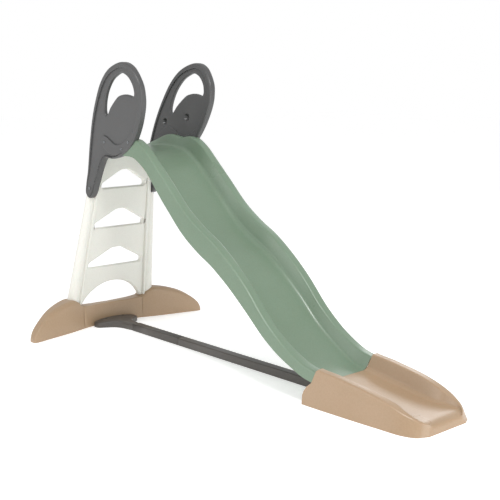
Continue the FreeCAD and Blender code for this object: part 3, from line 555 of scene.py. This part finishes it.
def on_panel(y, z, depth):
    """Depth runs from the recessed front face to the flush back, over the nominal sheet."""
    recess = line_at(RECESS, z)
    return place(panel_front(z) - recess - depth * (PANEL_THICK - recess) / SHEET, y, z)


def rail_at(z):
    """Centre and radius of the left column at a height."""
    share = (z - RAIL_FOOT.z) / (RAIL_TOP.z - RAIL_FOOT.z)
    return RAIL_FOOT.lerp(RAIL_TOP, share), (36 - 13 * share) * line_at(UNDER_TAIL, z)


def column_section(z):
    """Round column with its flange, as (x, y) points at a height."""
    centre, radius = rail_at(z)
    groove, flange, front = line_at(GROOVE, z), line_at(FLANGE, z), panel_front(z)
    start = math.asin(max(-0.95, (groove - centre.y) / radius))
    points = [Vector((centre.x + radius * math.cos(angle), centre.y + radius * math.sin(angle)))
              for angle in even(start, math.pi - start, 27)]
    back = front - PANEL_THICK
    corners = [(points[-1].x, points[-1].y, 0), (back, groove, 3), (back, flange, 3), (front, flange, 4),
               (front, groove, 3), (points[0].x, points[0].y, 0)]
    return points[1:-1] + rounded(corners, False, 4)


def window_loop(sill, half, rise):
    """Flat sill, low cheeks and a blunt pointed arch, as (y, z) points."""
    right = [(half, sill, 12), (half - 3, sill + 0.26 * rise, 20), (0.17 * half, sill + rise, 80)]
    return spaced(rounded(right + [(-y, z, radius) for y, z, radius in reversed(right)], True, 8), 110)


# %% Ladder
mesh = bmesh.new()
heights = [PLUG_LOW] + even(PANEL_BOTTOM, 770, 8) + even(778, 800, 4) + even(830, RAIL_TOP.z, 4)
capped(mesh, *skin(mesh, [[place(p.x, p.y, z) for p in column_section(z)] for z in heights], True))
mirrored(mesh)
arch = [(ARCH_RADIUS * math.sin(a), ARCH_CENTRE + ARCH_RADIUS * math.cos(a), 0)
        for a in even(-ARCH_SPREAD, ARCH_SPREAD, 41)]
sides = [(line_at(FLANGE, z) + 5, z, 0) for z in even(PANEL_BOTTOM, PANEL_TOP, 12)]
panel = rounded(arch + sides + [(-y, z, 0) for y, z, radius in reversed(sides)], True)
plate(mesh, panel, [window_loop(*sizes) for sizes in WINDOWS], 0, SHEET, (WINDOW_EDGE, WINDOW_EDGE), on_panel)
finished("ladder_moulding", mesh, "ladder", material=cream_plastic, slot="cream_plastic")

# %% [markdown]
# ## The handles
# Each handle is a looped plate that leans outwards. A thick rounded rim runs all round, the hand hole is
# in its upper half, and a round recessed disc closes the lower half. Below the disc the rim spreads into
# a pad for three screws, and a tail runs down over the column of the ladder.

# %% Handle tables
HANDLE_OUTLINE = [(4, 798), (7, 855), (19, 912), (36, 1010), (55, 1082), (94, 1193), (147, 1301),
                  (217, 1404), (304, 1473), (420, 1505), (502, 1480), (559, 1405), (572, 1335), (562, 1269),
                  (521, 1177), (459, 1092), (374, 1030), (270, 1000), (190, 1001), (141, 945), (101, 859),
                  (71, 789), (38, 770)]
HAND_HOLE = [(403, 1449), (350, 1432), (313, 1411), (278, 1378), (251, 1342), (231, 1300), (221, 1262),
             (222, 1240), (230, 1229), (241, 1232), (258, 1250), (283, 1277), (346, 1324), (384, 1337),
             (425, 1341), (462, 1336), (484, 1330), (496, 1332), (502, 1344), (501, 1362), (494, 1387),
             (472, 1418), (443, 1439)]
PAD = [(204, 1121), (240, 1108), (285, 1083), (320, 1077), (356, 1084), (400, 1103), (432, 1124), (453, 1144),
       (467, 1152), (479, 1148), (481, 1134), (452, 1100), (372, 1046), (300, 1022), (235, 1030), (190, 1058),
       (178, 1090), (184, 1112)]
INNER_PAD = [(114, 1096), (150, 1128), (190, 1152), (230, 1158), (270, 1146), (310, 1124), (356, 1112),
             (405, 1122), (438, 1140), (458, 1154), (474, 1158), (484, 1148), (480, 1128), (446, 1092),
             (372, 1044), (270, 1014), (205, 1016), (150, 1024), (114, 1056)]
RIM_BAND = [(0, 15), (0.2, 18), (0.35, 25), (0.5, 28), (0.68, 27), (0.76, 14), (0.83, 8), (0.94, 8),
            (1.0, 15)]
DIMPLES, DIMPLE_DEPTH = [(179, 1184, 19), (374, 1212, 21)], 18.0
SUNK = [(780, 1.0), (880, 3.0), (1000, 6.5), (1500, 7.5)]
PLATE_HALF, PAD_PROUD, TAIL_SCREW = 12.0, 0.7, (45, 825)
HANDLE_MIDDLE = [(760, 210), (900, 202), (1000, 201), (1080, 205), (1200, 214.7), (1520, 243.5)]
HANDLE_THICK = 38.0


def on_handle(x, z, depth):
    """Depth is counted from the outer face inwards."""
    return place(x, line_at(HANDLE_MIDDLE, z) + HANDLE_THICK / 2 - depth, z)


def on_sunk_plate(x, z, depth):
    """The plate inside the rim lies deep in the loop, and almost flush at the tail."""
    half = HANDLE_THICK / 2 - line_at(SUNK, z)
    return place(x, line_at(HANDLE_MIDDLE, z) + half * (PLATE_HALF - depth) / PLATE_HALF, z)


# %% Handles
def handle(side):
    mesh = bmesh.new()
    outline = smooth_loop(HANDLE_OUTLINE, 240)
    plate(mesh, outline, [moved_in(outline, RIM_BAND)], 0, HANDLE_THICK, (9, 9), on_handle,
          window_radii=(1.6, 1.6))
    dimples = [(circle(x, z, radius, 28), DIMPLE_DEPTH, radius * 0.4) for x, z, radius in DIMPLES]
    plate(mesh, moved_in(outline, 7), [smooth_loop(HAND_HOLE, 150)], 0, 2 * PLATE_HALF, (2, 2), on_sunk_plate,
          (), dimples, (8, 8))
    plate(mesh, smooth_loop(PAD, 120), [], -PAD_PROUD, HANDLE_THICK / 2, (2.5, 1), on_handle)
    plate(mesh, smooth_loop(INNER_PAD, 140), [], HANDLE_THICK / 2, HANDLE_THICK - 3, (1, 3), on_handle)
    plate(mesh, circle(*TAIL_SCREW, 11, 32), [], -PAD_PROUD, HANDLE_THICK / 2, (1.5, 1), on_handle)
    if side < 0:
        bmesh.ops.scale(mesh, vec=(1, -1, 1), verts=mesh.verts)
    name = "left" if side > 0 else "right"
    finished(f"handle_{name}_moulding", mesh, f"handle_{name}", material=grey_plastic, slot="grey_plastic")


for side in (1, -1):
    handle(side)

# %% [markdown]
# ## The base
# The base lies across the foot of the ladder: a crossbar in the middle and a foot at each end, plugged
# together. The feet rise round the columns, then fall to flat tips that curve forwards.

# %% Base
BASE_FRONT = [(0, -100), (150, -88), (205, -74), (300, -44), (400, -20), (480, -2), (550, 15), (584, 20)]
BASE_BACK = [(0, -165), (205, -172), (300, -162), (400, -130), (500, -84), (584, -38)]
BASE_TOP = [(0, 122), (205, 130), (240, 160), (280, 178), (330, 175), (400, 160), (460, 137), (520, 98),
            (560, 62), (584, 28)]
EDGE = [(0, 9), (205, 11), (300, 26), (460, 30), (584, 12)]
SEAM, FOOT_TIP = 205.0, 584.0
SEAM_EASE, TIP_REACH, TIP_ROUND = 1.6, 24.0, 12.0


def base_section(y, shrink=0.0):
    front, back, top = (line_at(table, abs(y)) for table in (BASE_FRONT, BASE_BACK, BASE_TOP))
    front, back, top = front - shrink, back + shrink, top - shrink
    draft, bend = 6 * min(1, top / 100), min(line_at(EDGE, abs(y)), top * 0.45)
    corners = [(back, 0, 2), (front, 0, 2), (front - draft, top, bend), (back + draft, top, bend)]
    loop = rounded(corners, True, 7)
    return [place(p.x, y, p.y) for p in loop]


def base_piece(name, node, ys):
    """A length of the base with slightly eased ends, so the seam between two lengths shows as a line."""
    rows = [base_section(ys[0], SEAM_EASE), base_section(ys[0] + math.copysign(1.5, ys[1] - ys[0]))]
    rows += [base_section(y) for y in ys[1:-1]]
    reach, tip = (TIP_REACH, TIP_ROUND) if abs(ys[-1]) > SEAM + 1 else (SEAM_EASE, SEAM_EASE)
    for angle in even(0, math.pi / 2, 9):
        y = ys[-1] - math.copysign(reach * (1 - math.sin(angle)), ys[1] - ys[0])
        rows.append(base_section(y, tip * (1 - math.cos(angle))))
    mesh = bmesh.new()
    capped(mesh, *skin(mesh, rows, True))
    finished(name, mesh, node, material=beige_plastic, slot="beige_plastic")


base_piece("crossbar_moulding", "base_crossbar", even(-SEAM, SEAM, 15))
foot_ys = even(SEAM + 0.3, 555, 38) + [FOOT_TIP]
for name, side in (("left", 1), ("right", -1)):
    base_piece(f"foot_{name}_moulding", f"base_foot_{name}", [side * y for y in foot_ys])

# %% [markdown]
# ## The brace
# A flat bar on the ground ties the foot of the ladder to the exit. Its head is a leaf that spreads along
# the crossbar and is held by two screws in round recesses. The bar is in two lengths, lapped and screwed.

# %% Brace
BAR_HALF, BAR_HEIGHT, BAR_START, SPLICE, BAR_END = 29.0, 40.0, 150.0, 565.0, 1800.0
LEAF_HEIGHT, LEAF_DROP, SCREW_PIT = 38.0, 9.0, (-74, 58, 8, 11.5)
LEAF = [(-94, 108), (-90, 128), (-74, 141), (-54, 142), (-33, 133), (-10, 98), (15, 63), (56, 40), (116, 30),
        (150, 25), (178, 14)]


def bar_section(x, ease=0.0):
    half, top = BAR_HALF - ease, BAR_HEIGHT - ease
    loop = rounded([(-half, 0, 2), (half, 0, 2), (half - 4, top, 7), (-half + 4, top, 7)], True)
    return [place(x, p.x, p.y) for p in loop]


def on_leaf(x, y, depth):
    """The leaf is lower towards its tips."""
    drop = max(0.0, min(1.0, (abs(y) - 50) / 90))
    top = LEAF_HEIGHT - LEAF_DROP * drop * drop * (3 - 2 * drop)
    return place(x, y, top * (1 - depth / LEAF_HEIGHT))


mesh = bmesh.new()
ends = ((BAR_START, 0), (300, 0), (SPLICE - 2, 0), (SPLICE - 0.4, 1.4))
capped(mesh, *skin(mesh, [bar_section(x, ease) for x, ease in ends], True))
back_line = [(line_at(BASE_FRONT, abs(y)) - 2, y) for y in even(-90, 90, 7)]
leaf = smooth_loop(LEAF + [(x, -y) for x, y in reversed(LEAF)] + back_line, 200)
x, y, radius, depth = SCREW_PIT
pits = [(circle(x, side * y, radius), depth, 0.2) for side in (-1, 1)]
plate(mesh, leaf, [], 0, LEAF_HEIGHT, (11, 1), on_leaf, pits)
finished("brace_head_moulding", mesh, "brace_head", material=brace_plastic, slot="brace_plastic")
mesh = bmesh.new()
ends = ((SPLICE + 0.4, 1.4), (SPLICE + 2, 0), (1100, 0), (BAR_END - 2, 0), (BAR_END, 1.4))
capped(mesh, *skin(mesh, [bar_section(x, ease) for x, ease in ends], True))
finished("brace_bar_moulding", mesh, "brace_bar", material=brace_plastic, slot="brace_plastic")

# %% [markdown]
# ## Light, floor and camera
# Outdoor plastic reads best in soft, even light: a pale floor, a bright sky all round, and four panels,
# one overhead, one in front, one past the exit and a weak one low behind. The camera stands off the
# exit, at the height of an adult's chest, and looks down a little.

# %% Floor and light
FLOOR_GLOW = 0.42
SKY_SEEN, SKY_LIGHT = 1.0, 0.62            # the sky looks white, and lights the slide a little less


def pale_floor():
    mesh = bmesh.new()
    bmesh.ops.create_grid(mesh, x_segments=1, y_segments=1, size=30)
    data = bpy.data.meshes.new("floor")
    mesh.to_mesh(data)
    mesh.free()
    material = bpy.data.materials.new("matt white paper")
    material.use_nodes = True
    shader = material.node_tree.nodes["Principled BSDF"]
    shader.inputs["Base Color"].default_value = linear("F7F7F7")
    shader.inputs["Roughness"].default_value = 0.9
    shader.inputs["Emission Color"].default_value = (1, 1, 1, 1)
    shader.inputs["Emission Strength"].default_value = FLOOR_GLOW
    data.materials.append(material)
    shape = bpy.data.objects.new("floor", data)
    shape.location.z = cad_box[0][2] - 0.0005
    bpy.context.scene.collection.objects.link(shape)
    return shape


pale_floor()


def soft_panel(name, at, aim, size, power):
    """Large square light that faces a point."""
    light = bpy.data.lights.new(name, "AREA")
    light.size, light.energy = size, power
    lamp = bpy.data.objects.new(name, light)
    lamp.location = at
    lamp.rotation_euler = (Vector(aim) - Vector(at)).to_track_quat("-Z", "Y").to_euler()
    bpy.context.scene.collection.objects.link(lamp)
    return lamp


soft_panel("overhead panel", (2.4, -1.35, 4.8), (0.3, 0, 0.5), 1.0, 105)
soft_panel("front panel", (-1.5, -5.0, 3.0), (0, 0, 0.6), 2.5, 60)
soft_panel("right panel", (5.5, 0.5, 1.8), (0, 0, 0.6), 2.5, 75)
soft_panel("low back panel", (-2.0, 4.6, 2.9), (0.9, 0, 0.1), 1.4, 24)
world = bpy.data.worlds.new("sky")
bpy.context.scene.world = world
world.use_nodes = True
ray = add_node(world.node_tree, "ShaderNodeLightPath")
glow = add_node(world.node_tree, "ShaderNodeMapRange", {
    "Value": ray.outputs["Is Camera Ray"], "To Min": SKY_LIGHT, "To Max": SKY_SEEN})
sky = world.node_tree.nodes["Background"]
sky.inputs["Color"].default_value = (1, 1, 1, 1)
world.node_tree.links.new(glow.outputs[0], sky.inputs["Strength"])
bpy.context.scene.view_settings.view_transform = "Standard"

# %% Camera
lens = bpy.data.cameras.new("camera")
lens.lens, lens.sensor_width = 69.48, 36.0
camera = bpy.data.objects.new("camera", lens)
camera.location = (3.505, -3.128, 1.4056)
LOOK_DOWN, HEADING = 9.895, 47.904         # degrees
camera.rotation_euler = (math.radians(90 - LOOK_DOWN), 0, math.radians(HEADING))
bpy.context.scene.collection.objects.link(camera)
bpy.context.scene.camera = camera
